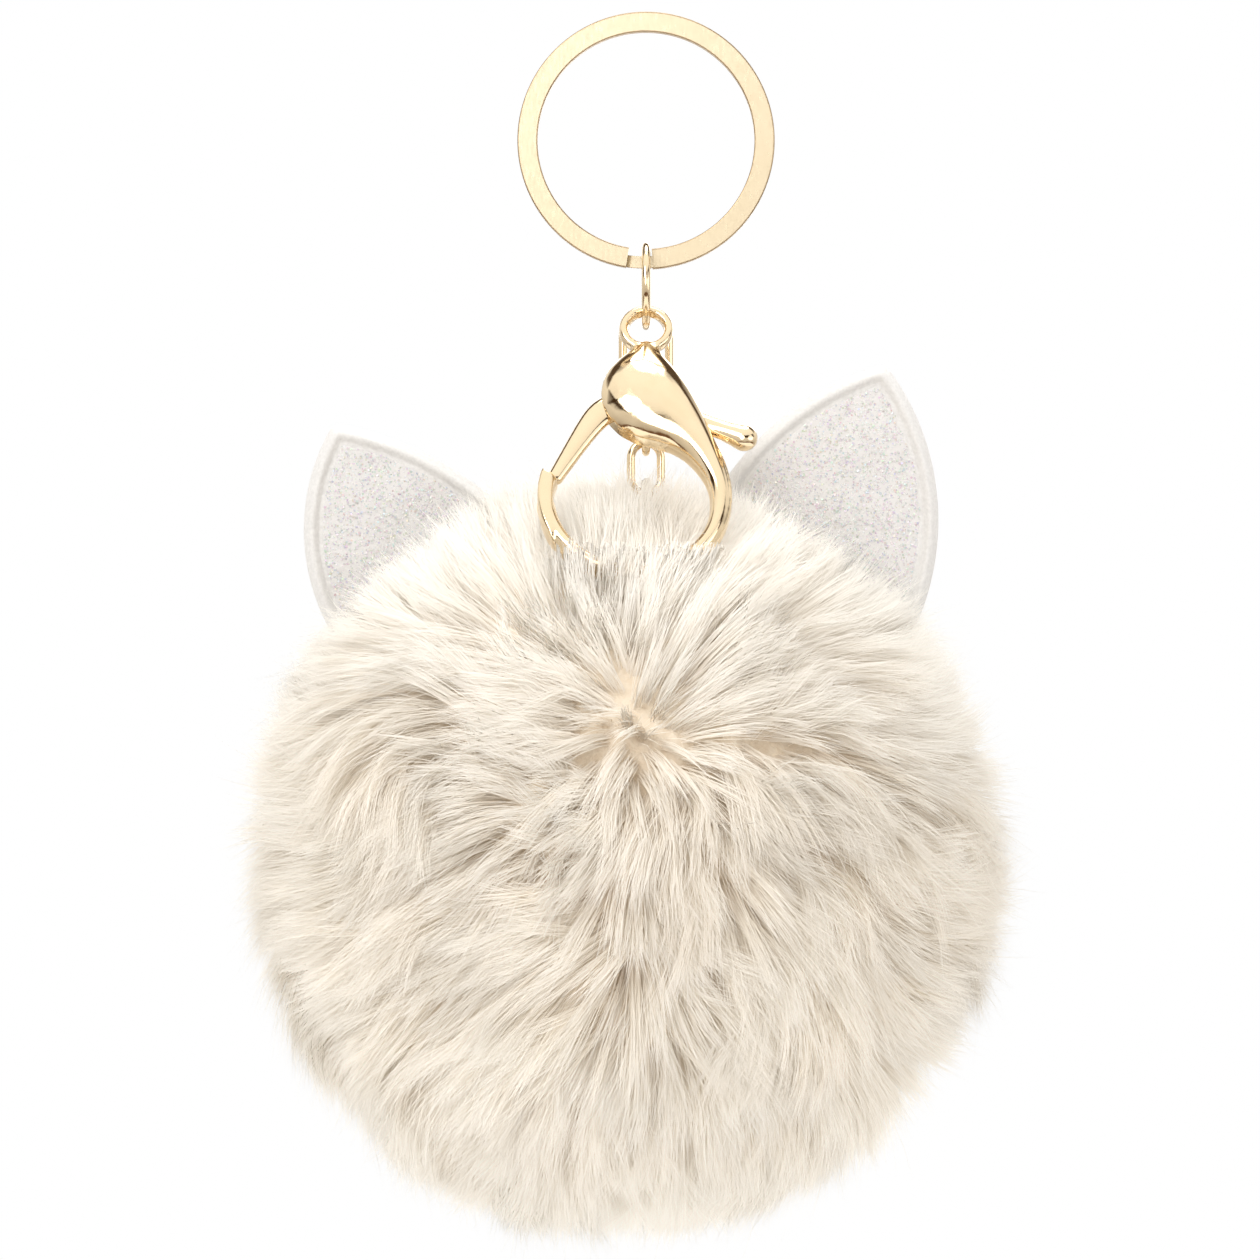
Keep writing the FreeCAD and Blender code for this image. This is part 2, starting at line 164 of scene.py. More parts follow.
# ---- camera, light, floor -----------------------------------------------------------
# All of these are in metres. The view is as wide as this at the hanging chain.
VIEW_WIDE, VIEW_AWAY, SENSOR = 0.147, 0.700, 36
VIEW_OUT, VIEW_HIGH = -0.00187, -0.05707
LIT_POINT = Vector((0, 0, -0.06))
PALE, WARM, WHITE = (1.0, 0.99, 0.98), (1.0, 0.985, 0.96), (1.0, 1.0, 1.0)
# name, place, width, power in watts, colour
LIGHTS = [
    ("key", (-0.55, -0.75, 0.55), 0.60, 3.2, WARM),
    ("fill", (0.75, -0.55, 0.15), 0.70, 1.5, PALE),
    ("top", (0.05, 0.25, 0.75), 0.60, 3.0, WHITE),
    ("front", (-0.30, -1.20, 0.34), 0.80, 4.9, WARM),
    ("back", (0.15, 1.20, 0.25), 0.90, 5.0, WARM),
]
ROOM_LOW, ROOM_HIGH, ROOM_LEVEL = (0.68, 0.63, 0.57, 1), (1.5, 1.48, 1.43, 1), 0.85
# Height on the unit sphere, half height and colour of the dark cards across the front
CARDS = [(0.40, 0.13, (0.07, 0.04, 0.02, 1)), (-0.50, 0.16, (0.20, 0.11, 0.06, 1))]
CARD_BLEND = 0.05
HOOD = (0.12, 0.08, 0.05, 1)
FLOOR_HALF, FLOOR_HIGH, FLOOR_STEPS = 450.0, -300.0, 24  # in millimetres


def camera():
    """Straight on from the front."""
    data = bpy.data.cameras.new("camera")
    data.sensor_width = SENSOR
    data.lens = SENSOR * VIEW_AWAY / VIEW_WIDE
    data.clip_start, data.clip_end = 0.01, 50
    obj = bpy.data.objects.new("camera", data)
    obj.location = (VIEW_OUT, -VIEW_AWAY, VIEW_HIGH)
    obj.rotation_euler = (math.radians(90), 0, 0)
    bpy.context.scene.collection.objects.link(obj)
    bpy.context.scene.camera = obj


def soft_light(name, place, wide, power, colour):
    """A round area light that faces the keychain."""
    data = bpy.data.lights.new(name, "AREA")
    data.shape, data.size, data.energy, data.color = "DISK", wide, power, colour
    obj = bpy.data.objects.new(name, data)
    obj.location = place
    aim = LIT_POINT - Vector(place)
    obj.rotation_euler = aim.to_track_quat("-Z", "Y").to_euler()
    bpy.context.scene.collection.objects.link(obj)


def node_maker(tree):
    """A function that adds a node: i0, i1... or an input's name takes a value or a socket."""
    def add(kind, settings=None, **inputs):
        made = tree.nodes.new(kind)
        for key, value in (settings or {}).items():
            setattr(made, key, value)
        for key, value in inputs.items():
            socket = made.inputs[int(key[1:])] if key[0] == "i" and key[1:].isdigit() \
                else made.inputs[key.replace("_", " ")]
            if isinstance(value, bpy.types.NodeSocket):
                tree.links.new(value, socket)
            else:
                socket.default_value = value
        return made
    return add


def studio():
    """White to the camera; to all else a soft room, with dark cards in front and a hood behind."""
    world = bpy.data.worlds.new("studio")
    bpy.context.scene.world = world
    world.use_nodes = True
    tree = world.node_tree
    tree.nodes.clear()
    add = node_maker(tree)
    way = add("ShaderNodeSeparateXYZ", i0=add("ShaderNodeTexCoord").outputs["Generated"])
    height = add("ShaderNodeMapRange", i0=way.outputs["Z"], From_Min=-0.4, From_Max=0.95)
    room = add("ShaderNodeMix", {"data_type": "RGBA"}, i0=height.outputs[0],
               i6=ROOM_LOW, i7=ROOM_HIGH).outputs[2]
    front = add("ShaderNodeMapRange", i0=way.outputs["Y"], From_Min=0.15, From_Max=-0.1)

    def card(base, level, half, colour):
        """A dark card across the front at one height, for the polished metal to mirror."""
        above = add("ShaderNodeMath", {"operation": "SUBTRACT"}, i0=way.outputs["Z"], i1=level)
        apart = add("ShaderNodeMath", {"operation": "ABSOLUTE"}, i0=above.outputs[0])
        within = add("ShaderNodeMapRange", i0=apart.outputs[0], From_Min=half + CARD_BLEND,
                     From_Max=half)
        share = add("ShaderNodeMath", {"operation": "MULTIPLY"}, i0=within.outputs[0],
                    i1=front.outputs[0])
        return add("ShaderNodeMix", {"data_type": "RGBA"}, i0=share.outputs[0],
                   i6=base, i7=colour).outputs[2]

    cards = room
    for level, half, colour in CARDS:
        cards = card(cards, level, half, colour)
    rear = add("ShaderNodeMapRange", i0=way.outputs["Y"], From_Min=0.20, From_Max=0.32)
    high = add("ShaderNodeMapRange", i0=way.outputs["Z"], From_Min=0.45, From_Max=0.6)
    over = add("ShaderNodeMath", {"operation": "MULTIPLY"}, i0=rear.outputs[0], i1=high.outputs[0])
    hood = add("ShaderNodeMix", {"data_type": "RGBA"}, i0=over.outputs[0], i6=cards,
               i7=HOOD).outputs[2]
    studio_light = add("ShaderNodeBackground", i0=hood, i1=ROOM_LEVEL)
    seen = add("ShaderNodeBackground", i0=(1, 1, 1, 1), i1=1.0)
    mixed = add("ShaderNodeMixShader", i0=add("ShaderNodeLightPath").outputs["Is Camera Ray"],
                i1=studio_light.outputs[0], i2=seen.outputs[0])
    add("ShaderNodeOutputWorld", i0=mixed.outputs[0])


def floor():
    """A plain pale floor below the ball."""
    steps = FLOOR_STEPS
    line = np.linspace(-FLOOR_HALF, FLOOR_HALF, steps)
    across, along = np.meshgrid(line, line, indexing="ij")
    verts = np.stack([across.ravel(), along.ravel(), np.full(steps * steps, FLOOR_HIGH)], 1)
    first = (np.arange(steps - 1)[:, None] * steps + np.arange(steps - 1)).ravel()
    quads = np.stack([first, first + steps, first + steps + 1, first + 1], 1)
    obj = new_mesh("floor", verts, [quads])
    obj.data.materials.append(plain_floor())


# ---- materials ----------------------------------------------------------------------
def shader(name, **constants):
    """A Principled material; returns it with its node maker, its shader and object space."""
    made = bpy.data.materials.new(name)
    made.use_nodes = True
    tree = made.node_tree
    add = node_maker(tree)
    surface = tree.nodes["Principled BSDF"]
    for key, value in constants.items():
        surface.inputs[key.replace("_", " ")].default_value = value
    space = add("ShaderNodeTexCoord").outputs["Object"]
    return made, add, surface, space, tree.links.new


def noise(add, space, per_mm, detail=2.0, stretch=None):
    """Noise with so many waves to a millimetre."""
    if stretch:
        space = add("ShaderNodeMapping", i0=space, i3=stretch).outputs[0]
    return add("ShaderNodeTexNoise", Vector=space, Scale=per_mm / MM, Detail=detail).outputs[0]


def two_tone(add, share, first, second):
    """A mix of two colours."""
    return add("ShaderNodeMix", {"data_type": "RGBA"}, i0=share,
               i6=(*first, 1), i7=(*second, 1)).outputs[2]


def ranged(add, value, low, high, start=0.3, stop=0.7):
    """A value that runs from low to high while its source runs from start to stop."""
    return add("ShaderNodeMapRange", i0=value, From_Min=start, From_Max=stop,
               To_Min=low, To_Max=high).outputs[0]


def bumped(add, height, depth_mm, strength):
    return add("ShaderNodeBump", Height=height, Distance=depth_mm * MM,
               Strength=strength).outputs[0]


def plain_floor():
    made, add, surface, space, link = shader("floor_white", Roughness=0.9)
    link(two_tone(add, noise(add, space, 0.002), (0.93, 0.93, 0.925), (0.95, 0.95, 0.945)),
         surface.inputs["Base Color"])
    return made


def polished_gold():
    made, add, surface, space, link = shader("polished_gold", Metallic=1.0)
    cloud = noise(add, space, 0.35)
    link(two_tone(add, cloud, (0.84, 0.67, 0.44), (0.89, 0.74, 0.52)),
         surface.inputs["Base Color"])
    link(ranged(add, noise(add, space, 1.3, 4.0), 0.06, 0.15), surface.inputs["Roughness"])
    link(bumped(add, noise(add, space, 2.2, 3.0), 0.012, 0.25), surface.inputs["Normal"])
    return made


def satin_gold():
    """Brushed pale gold with painted shade: thin darker lines at the ring's two radii, along its
    edges.
    """
    outer_edge, inner_edge, blend = 14.84 * MM, 12.80 * MM, 0.06 * MM
    made, add, surface, space, link = shader("satin_gold", Metallic=1.0)
    grain = noise(add, space, 3.5, 3.0, stretch=(1.0, 6.0, 0.25))
    face = two_tone(add, noise(add, space, 0.25), (0.60, 0.51, 0.36), (0.65, 0.56, 0.41))
    flat = add("ShaderNodeVectorMath", {"operation": "MULTIPLY"}, i0=space, i1=(1, 0, 1))
    out = add("ShaderNodeVectorMath", {"operation": "LENGTH"}, i0=flat.outputs[0]).outputs["Value"]
    outer = add("ShaderNodeMapRange", i0=out, From_Min=outer_edge - blend,
                From_Max=outer_edge + blend).outputs[0]
    inner = add("ShaderNodeMapRange", i0=out, From_Min=inner_edge + blend,
                From_Max=inner_edge - blend).outputs[0]
    # Painted shade: the face turns dark brown in thin lines along the ring's outer and inner radii.
    edge = add("ShaderNodeMath", {"operation": "MAXIMUM"}, i0=outer, i1=inner).outputs[0]
    link(add("ShaderNodeMix", {"data_type": "RGBA"}, i0=edge, i6=face,
             i7=(0.42, 0.31, 0.19, 1)).outputs[2], surface.inputs["Base Color"])
    link(ranged(add, grain, 0.26, 0.38), surface.inputs["Roughness"])
    link(bumped(add, grain, 0.006, 0.15), surface.inputs["Normal"])
    return made


def drawn_steel():
    made, add, surface, space, link = shader("drawn_steel", Metallic=1.0)
    link(two_tone(add, noise(add, space, 0.8), (0.62, 0.62, 0.62), (0.72, 0.72, 0.73)),
         surface.inputs["Base Color"])
    link(ranged(add, noise(add, space, 4.0), 0.2, 0.35), surface.inputs["Roughness"])
    return made


def fibre_cloth(name, dark, light, per_mm, depth_mm, sheen=0.3):
    """Matte cloth: fine fibres in its colour and its bump."""
    made, add, surface, space, link = shader(name, Roughness=0.85, Sheen_Weight=sheen)
    fibres = noise(add, space, per_mm, 4.0)
    link(two_tone(add, ranged(add, fibres, 0, 1), dark, light), surface.inputs["Base Color"])
    link(bumped(add, fibres, depth_mm, 0.6), surface.inputs["Normal"])
    return made


def sparkle_cloth():
    """White cloth whose coating shows as specks of many colours."""
    made, add, surface, space, link = shader("sparkle_cloth", Sheen_Weight=0.15)
    cells = add("ShaderNodeTexVoronoi", Vector=space, Scale=3.2 / MM)
    near = add("ShaderNodeMapRange", i0=cells.outputs["Distance"], From_Min=0.42, From_Max=0.30)
    white = two_tone(add, noise(add, space, 0.9), (0.72, 0.71, 0.71), (0.80, 0.79, 0.79))
    pastel = add("ShaderNodeMix", {"data_type": "RGBA", "blend_type": "SOFT_LIGHT"}, i0=0.30,
                 i6=(0.78, 0.77, 0.79, 1), i7=cells.outputs["Color"]).outputs[2]
    link(add("ShaderNodeMix", {"data_type": "RGBA"}, i0=near.outputs[0], i6=white,
             i7=pastel).outputs[2], surface.inputs["Base Color"])
    link(ranged(add, near.outputs[0], 0.75, 0.30, 0, 1), surface.inputs["Roughness"])
    link(bumped(add, near.outputs[0], 0.08, 0.6), surface.inputs["Normal"])
    return made


def glitter():
    """Thin flakes, silver with a pastel cast that differs from flake to flake."""
    made, add, surface, space, link = shader("glitter_flakes", Metallic=0.1, Roughness=0.25)
    cast = add("ShaderNodeAttribute", {"attribute_name": "tone"}).outputs["Color"]
    link(add("ShaderNodeMix", {"data_type": "RGBA"}, i0=0.24, i6=(0.74, 0.73, 0.75, 1),
             i7=cast).outputs[2], surface.inputs["Base Color"])
    return made


def fur_strands():
    """Cream fur: tan near the skin, ivory at the tips, and a painted light that makes it whiter at
    the top of the ball.

    Its faint glow stands in for the light that scatters between the fibres."""
    made, add, surface, space, link = shader(
        "fur_strands", Roughness=0.62, Specular_IOR_Level=0.22, Sheen_Weight=0.25,
        Emission_Color=(1.0, 0.89, 0.74, 1), Emission_Strength=0.085)
    parts = add("ShaderNodeSeparateColor", i0=add(
        "ShaderNodeAttribute", {"attribute_name": "tone"}).outputs["Color"])
    along, lock, hair = parts.outputs[0], parts.outputs[1], parts.outputs[2]
    ramp = add("ShaderNodeValToRGB", i0=along)
    steps = ramp.color_ramp.elements
    steps[0].position, steps[0].color = 0.15, (0.82, 0.70, 0.56, 1)
    steps[1].position, steps[1].color = 1.0, (0.96, 0.94, 0.895, 1)
    for place, colour in ((0.45, (0.90, 0.83, 0.72, 1)), (0.72, (0.945, 0.90, 0.82, 1))):
        steps.new(place).color = colour
    shade = add("ShaderNodeMapRange", i0=lock, To_Min=0.90, To_Max=1.06).outputs[0]
    single = add("ShaderNodeMapRange", i0=hair, To_Min=0.93, To_Max=1.05).outputs[0]
    scale = add("ShaderNodeMath", {"operation": "MULTIPLY"}, i0=shade, i1=single).outputs[0]
    tinted = add("ShaderNodeVectorMath", {"operation": "SCALE"}, i0=ramp.outputs[0])
    link(scale, tinted.inputs["Scale"])
    # Painted light: towards the top of the ball the fur is mixed with a paler cream, as if lit from
    # above.
    height = add("ShaderNodeSeparateXYZ", i0=space).outputs["Z"]
    top = add("ShaderNodeMapRange", i0=height, From_Min=-0.085, From_Max=-0.045,
              To_Min=0.0, To_Max=0.55).outputs[0]
    patches = ranged(add, noise(add, space, 0.09, 1.0), 0.0, 0.22, 0.45, 0.7)
    painted_top_light = add("ShaderNodeMix", {"data_type": "RGBA"}, i0=top, i6=tinted.outputs[0],
                 i7=(0.93, 0.92, 0.89, 1)).outputs[2]
    link(add("ShaderNodeMix", {"data_type": "RGBA"}, i0=patches, i6=painted_top_light,
             i7=(0.80, 0.72, 0.61, 1)).outputs[2], surface.inputs["Base Color"])
    return made


# ---- ears ---------------------------------------------------------------------------
# Outer foot, a point on the outer edge, tip, a point on the top edge, inner foot and a
# point on the base, in X and Z, for the ear on the left and the one on the right.
EARS = {
    "left": [(-30.5, -64.5), (-39.7, -49.5), (-36.6, -32.9), (-23.4, -37.7),
             (-8.8, -53.2), (-18.4, -57.9)],
    "right": [(26.5, -64.4), (34.1, -47.2), (28.0, -25.9), (15.2, -32.8),
              (3.8, -53.0), (13.4, -58.3)],
}
EAR_BACK, EAR_HALF, RIM = 2.4, 1.6, 1.9  # mid-plane, half thickness, width of the rim
EDGE_ROUND, CROWN = 1.5, 0.35
FLAKE_TRIES = 7000


def arc_points(start, via, end, count):
    """Points along the circle through three points, without the last one."""
    a, b, c = [complex(*p) for p in (start, via, end)]
    w = (c - a) / (b - a)
    centre = a + (b - a) * (w - abs(w) ** 2) / (2j * w.imag)
    end_ray, via_ray = (c - centre) / (a - centre), (b - centre) / (a - centre)
    turn = math.atan2(end_ray.imag, end_ray.real)
    via_turn = math.atan2(via_ray.imag, via_ray.real)
    if turn * via_turn < 0:
        turn += 2 * math.pi if via_turn > 0 else -2 * math.pi
    angles = np.arange(count) / count * turn
    points = centre + (a - centre) * np.exp(1j * angles)
    return np.stack([points.real, points.imag], 1)


def ear_outline(side, per_edge=90):
    """The ear's outline with rounded corners, evenly stepped, as an (n, 2) array."""
    foot, outer, tip, top, inner, base = EARS[side]
    line = np.concatenate([arc_points(foot, outer, tip, per_edge),
                           arc_points(tip, top, inner, per_edge),
                           arc_points(inner, base, foot, per_edge)])
    for _ in range(6):
        line = (np.roll(line, 1, 0) + 2 * line + np.roll(line, -1, 0)) / 4
    return line


def outline_distance(points, line):
    """Distance from each point to a closed line."""
    start, end = line, np.roll(line, -1, 0)
    span = end - start
    rel = points[:, None, :] - start[None]
    share = np.clip((rel * span).sum(2) / (span * span).sum(1), 0, 1)
    return np.sqrt(((rel - share[..., None] * span) ** 2).sum(2)).min(1)


def inside_outline(points, line):
    """Whether each point lies inside a closed line."""
    start, end = line, np.roll(line, -1, 0)
    x, z = points[:, 0, None], points[:, 1, None]
    crosses = (start[:, 1] > z) != (end[:, 1] > z)
    rise = np.where(end[:, 1] == start[:, 1], 1e-9, end[:, 1] - start[:, 1])
    at = start[:, 0] + (z - start[:, 1]) / rise * (end[:, 0] - start[:, 0])
    return (crosses & (x < at)).sum(1) % 2 == 1


def ear_skin(side, shares, front, height):
    """Rings from the outline (share 1) towards its middle, given a height above mid-plane."""
    line = ear_outline(side)
    centre = line.mean(0)
    rings = [centre + (line - centre) * share for share in shares]
    flat = np.concatenate(rings)
    gap = outline_distance(flat, line)
    depth = height(flat, gap)
    verts = np.stack([flat[:, 0], EAR_BACK + (-depth if front else depth), flat[:, 1]], 1)
    count, around = len(shares), len(line)
    ring = np.arange(count - 1)[:, None] * around
    here, after = np.arange(around), (np.arange(around) + 1) % around
    a, b = (ring + here).ravel(), (ring + after).ravel()
    quads = np.stack([a, b, b + around, a + around], 1)
    if not front:
        quads = quads[:, ::-1]
    return verts, quads, gap


def puff(flat, gap):
    """Half the ear's thickness: a rounded edge, a soft crown and shallow wrinkles."""
    edge = np.sqrt(np.clip(1 - (1 - np.clip(gap / EDGE_ROUND, 0, 1)) ** 2, 0, 1))
    crown = CROWN * smooth(EDGE_ROUND, 9.0, gap)
    spot = np.stack([flat[:, 0], np.zeros(len(flat)), flat[:, 1]], 1)
    wrinkle = 0.07 * field(spot, 9.0, 5) * smooth(0.5, 3.0, gap)
    return (EAR_HALF - CROWN) * edge + crown + wrinkle


def welt(flat, gap):
    """The front of the cover: a soft rolled rim that dips to the seam beside the panel."""
    spot = np.stack([flat[:, 0], np.full(len(flat), 3.0), flat[:, 1]], 1)
    roll = 0.45 * np.exp(-((gap - 1.0) / 0.6) ** 2)
    seam = 0.25 * np.exp(-((gap - RIM) / 0.3) ** 2)
    stitch = 0.05 * np.sin(spot[:, 0] * 5.2 + spot[:, 2] * 5.2) * np.exp(-((gap - RIM) / 0.4) ** 2)
    return puff(flat, gap) + roll - seam + stitch


def ring_shares(fine, coarse):
    """How far out each ring lies: close together at the rim, wide apart in the middle."""
    near = 1 - np.linspace(0, 1, fine) ** 1.6 * 0.24
    return np.concatenate([near, np.linspace(near[-1], 0.01, coarse)[1:]])


def ear(side, cloth, sparkle, flake):
    """The cover is one closed skin; the panel lies on its front, inside the rim."""
    shares = ring_shares(26, 22)
    back, back_quads, _ = ear_skin(side, shares, False, puff)
    front, front_quads, gap = ear_skin(side, shares, True, welt)
    sunk = smooth(RIM + 0.1, RIM + 0.9, gap) * 0.45
    front[:, 1] += sunk
    cover = new_mesh(f"{side}_ear_cloth", np.concatenate([back, front]),
                     [np.concatenate([back_quads, front_quads + len(back)])])
    join_seam(cover)
    finish_piece(cover, "pompom", "ear_cloth", cloth, f"{side}_ear_cover", f"{side}_ear_filling")
    inner = 1 - np.linspace(0, 1, 40) * 0.99

    def panel_height(flat, gap_here):
        """The panel's front: a fine weave that dips to the seam beside the rim."""
        spot = np.stack([flat[:, 0], np.full(len(flat), 7.0), flat[:, 1]], 1)
        weave = 0.025 * field(spot, 1.1, 9)
        seam = 0.35 * np.exp(-((gap_here - RIM) / 0.35) ** 2)
        return puff(flat, gap_here) - 0.05 + weave - seam

    verts, quads, gap = ear_skin(side, inner, True, panel_height)
    keep = (gap[quads] > RIM * 0.93).all(1)
    panel = new_mesh(f"{side}_ear_sparkle", verts, [quads[keep]])
    drop_loose(panel)
    finish_piece(panel, "pompom", "sparkle_cloth", sparkle, f"{side}_ear_panel")
    flakes(side, flake)


def join_seam(obj):
    """Welds the rings that meet along the outline and in the middle."""
    work = bmesh.new()
    work.from_mesh(obj.data)
    bmesh.ops.remove_doubles(work, verts=work.verts, dist=0.02 * MM)
    work.to_mesh(obj.data)
    work.free()


def drop_loose(obj):
    """Deletes the points that no face uses."""
    work = bmesh.new()
    work.from_mesh(obj.data)
    bmesh.ops.delete(work, geom=[v for v in work.verts if not v.link_faces], context="VERTS")
    work.to_mesh(obj.data)
    work.free()


def flakes(side, material):
    """Six-sided flakes about 0.25 mm wide, tilted every way, stuck to the panel."""
    rng = np.random.default_rng(31 if side == "left" else 47)
    line = ear_outline(side)
    low, high = line.min(0), line.max(0)
    spots = rng.uniform(low, high, (FLAKE_TRIES, 2))
    spots = spots[inside_outline(spots, line)]
    gap = outline_distance(spots, line)
    spots, gap = spots[gap > RIM + 0.35], gap[gap > RIM + 0.35]
    count = len(spots)
    depth = EAR_BACK - puff(spots, gap) - 0.02
    centre = np.stack([spots[:, 0], depth, spots[:, 1]], 1)
    facing = unit(np.stack([rng.normal(0, 0.30, count), -np.ones(count),
                            rng.normal(0, 0.30, count)], 1))
    side_way = unit(np.cross(facing, rng.normal(size=(count, 3))))
    up_way = np.cross(facing, side_way)
    half = rng.uniform(0.06, 0.15, (count, 1))
    corners = [centre + half * (math.cos(a) * side_way + math.sin(a) * up_way)
               for a in np.arange(6) * math.pi / 3]
    verts = np.stack(corners, 1).reshape(-1, 3)
    first = np.arange(count)[:, None] * 6
    quads = np.concatenate([first + [0, 1, 2, 3], first + [0, 3, 4, 5]])
    obj = new_mesh(f"{side}_ear_flakes", verts, [quads], smooth_faces=False)
    tone(obj, np.repeat(rng.uniform(0.1, 1.0, (count, 3)), 6, 0))
    finish_piece(obj, "pompom", "sparkle_cloth", material)


# ---- cord loop, knot and thread -----------------------------------------------------
CORD_PITCH = 3.0


def tube(path, radius, sides=10):
    """Verts and quads of an open tube along an (n, 3) path."""
    ahead = unit(np.gradient(path, axis=0))
    normal = np.cross(ahead[0], (0.3, 0.5, 0.8))
    rows = []
    for point, way in zip(path, ahead):
        normal = normal - way * (normal @ way)
        normal = normal / np.linalg.norm(normal)
        other = np.cross(way, normal)
        turn = np.arange(sides) * 2 * math.pi / sides
        spoke = np.cos(turn)[:, None] * normal + np.sin(turn)[:, None] * other
        rows.append(point + radius * spoke)
    verts = np.concatenate(rows)
    row = np.arange(len(path) - 1)[:, None] * sides
    here, after = np.arange(sides), (np.arange(sides) + 1) % sides
    a, b = (row + here).ravel(), (row + after).ravel()
    return verts, np.stack([a, b, b + sides, a + sides], 1)


def twisted(name, path, cord_half, plies, pitch):
    """Plies laid round a path, as a real cord is made."""
    step = np.linalg.norm(np.diff(path, axis=0), axis=1)
    along = np.concatenate([[0], np.cumsum(step)])
    ahead = unit(np.gradient(path, axis=0))
    first = unit(np.cross(ahead, (1.0, 0.13, 0.07)))
    second = np.cross(ahead, first)
    ply = cord_half / (1 + 1 / math.sin(math.pi / plies))
    off = cord_half - ply
    verts, quads, start = [], [], 0
    for n in range(plies):
        turn = (2 * math.pi * (along / pitch + n / plies))[:, None]
        strand = path + off * (np.cos(turn) * first + np.sin(turn) * second)
        v, q = tube(strand, ply * 1.12)
        verts.append(v)
        quads.append(q + start)
        start += len(v)
    return new_mesh(name, np.concatenate(verts), [np.concatenate(quads)])


def hanging_cord(material):
    """A hairpin of three-ply cord: its bend lies in the lower link, its legs in the ball."""
    low, high = [np.array(c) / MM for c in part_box("hanging_loop")]
    half = (high[0] - low[0]) / 2
    bend = (high[1] - low[1]) / 2 - half
    top, foot = high[2] - half - bend, low[2]
    leg = np.linspace(foot, top, 40)
    turn = np.linspace(0, math.pi, len(leg))[1:-1]
    y = np.concatenate([np.full(len(leg), -bend), -bend * np.cos(turn), np.full(len(leg), bend)])
    z = np.concatenate([leg, top + bend * np.sin(turn), leg[::-1]])
    path = np.stack([np.full(len(y), CHAIN[0]), CHAIN[1] + y, z], 1)
    cord = twisted("cord_loop", path, half, 3, CORD_PITCH)
    finish_piece(cord, "pompom", "cord", material, "hanging_loop")


def knot(material):
    """The overhand knot that stops the loop inside the ball."""
    centre, scale = middle("loop_knot"), 0.62 * 0.93
    turn = np.linspace(0, 2 * math.pi, 160, endpoint=False)
    turn = np.append(turn, turn[0])
    path = np.stack([np.sin(turn) + 2 * np.sin(2 * turn), np.cos(turn) - 2 * np.cos(2 * turn),
                     -np.sin(3 * turn)], 1) * scale + centre
    finish_piece(twisted("cord_knot", path, 0.55, 3, CORD_PITCH), "pompom", "cord", material,
                 "loop_knot")


def thread(material):
    """Two-ply thread that draws the backing together round the neck."""
    low, high = [np.array(c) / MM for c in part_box("gather_thread")]
    centre, half = (low + high) / 2, (high[2] - low[2]) / 2
    mean = (high[0] - low[0]) / 2 - half
    turn = np.linspace(0, 2 * math.pi, 181)
    path = centre + np.stack([mean * np.cos(turn), mean * np.sin(turn), 0.08 * np.sin(7 * turn)], 1)
    finish_piece(twisted("gather_cord", path, half, 2, 1.6), "pompom", "thread", material,
                 "gather_thread")


# ---- ball ---------------------------------------------------------------------------
def lumpy_ball(name, radius, lumps, wavelength, seed, level=6):
    """A ball whose radius wavers by seeded noise."""
    work = bmesh.new()
    bmesh.ops.create_icosphere(work, subdivisions=level, radius=1.0)
    mesh = bpy.data.meshes.new(name)
    work.to_mesh(mesh)
    work.free()
    flat = np.empty(len(mesh.vertices) * 3, np.float32)
    mesh.vertices.foreach_get("co", flat)
    way = unit(flat.reshape(-1, 3).astype(float))
    points = BALL + way * (radius + lumps * field(way * radius, wavelength, seed))[:, None]
    shade_smooth(mesh)
    write_points(mesh, points)
    obj = bpy.data.objects.new(name, mesh)
    bpy.context.scene.collection.objects.link(obj)
    return obj


# ---- fur ----------------------------------------------------------------------------
ROOT_R, TIP_R = 33.5, 45.5  # from the middle of the ball to the strands' roots and tips
TUFTS, LOCKS, STRANDS, QUICK_STRANDS = 260, 8000, 204000, 112000
LOOSE_SHARE, LOOSE_WIDE = 0.38, 0.085
SECTORS = 8
# Room beside the chain and beside the cord, the height where one ends and where both end
CHAIN_ROOM, CORD_ROOM, CHAIN_FOOT, OPEN_TO = 2.9, 2.0, -46, -62
# Fur is pressed back this far behind the hook; past WALL_EDGE the wall slopes to nothing
WALL, WALL_SLOPE, WALL_EDGE, WALL_END = 1.9, 1.6, 12.0, 17.5
EAR_NEAR, EAR_PUSH = 2.3, 2.05  # fur this near an ear's mid-plane is moved this far from it
WHORL = unit(np.array([0.175, -0.866, 0.469]))
# The clasp: the middle of its eye, its lean, and the middle, width and foot of its hook
EYE = np.array([0.0, -4.193, -22.294])
LEAN = math.radians(31)
HOOK_MID, HOOK_MEAN, HOOK_FOOT = np.array([-1.3, -23.4]), 10.2, -30.9


def flow(way):
    """Where the fur lies: away from a tangled whorl high on the front, and down on the back."""
    ahead = (way @ WHORL)[:, None]
    away = way * ahead - WHORL
    down = way * way[:, 2:] - (0, 0, 1)
    tangle = np.stack([field(way * ROOT_R, 19.0, seed) for seed in (111, 112, 113)], 1)
    tangle -= way * (tangle * way).sum(1, keepdims=True)
    back = smooth(0.35, -0.45, ahead)
    return away * (1 - 0.8 * back) + down * (0.14 + 0.7 * back) + 0.20 * tangle


def turned(vectors, axis, angle):
    """Vectors turned about unit axes that are square to them."""
    return vectors * np.cos(angle)[:, None] + np.cross(axis, vectors) * np.sin(angle)[:, None]


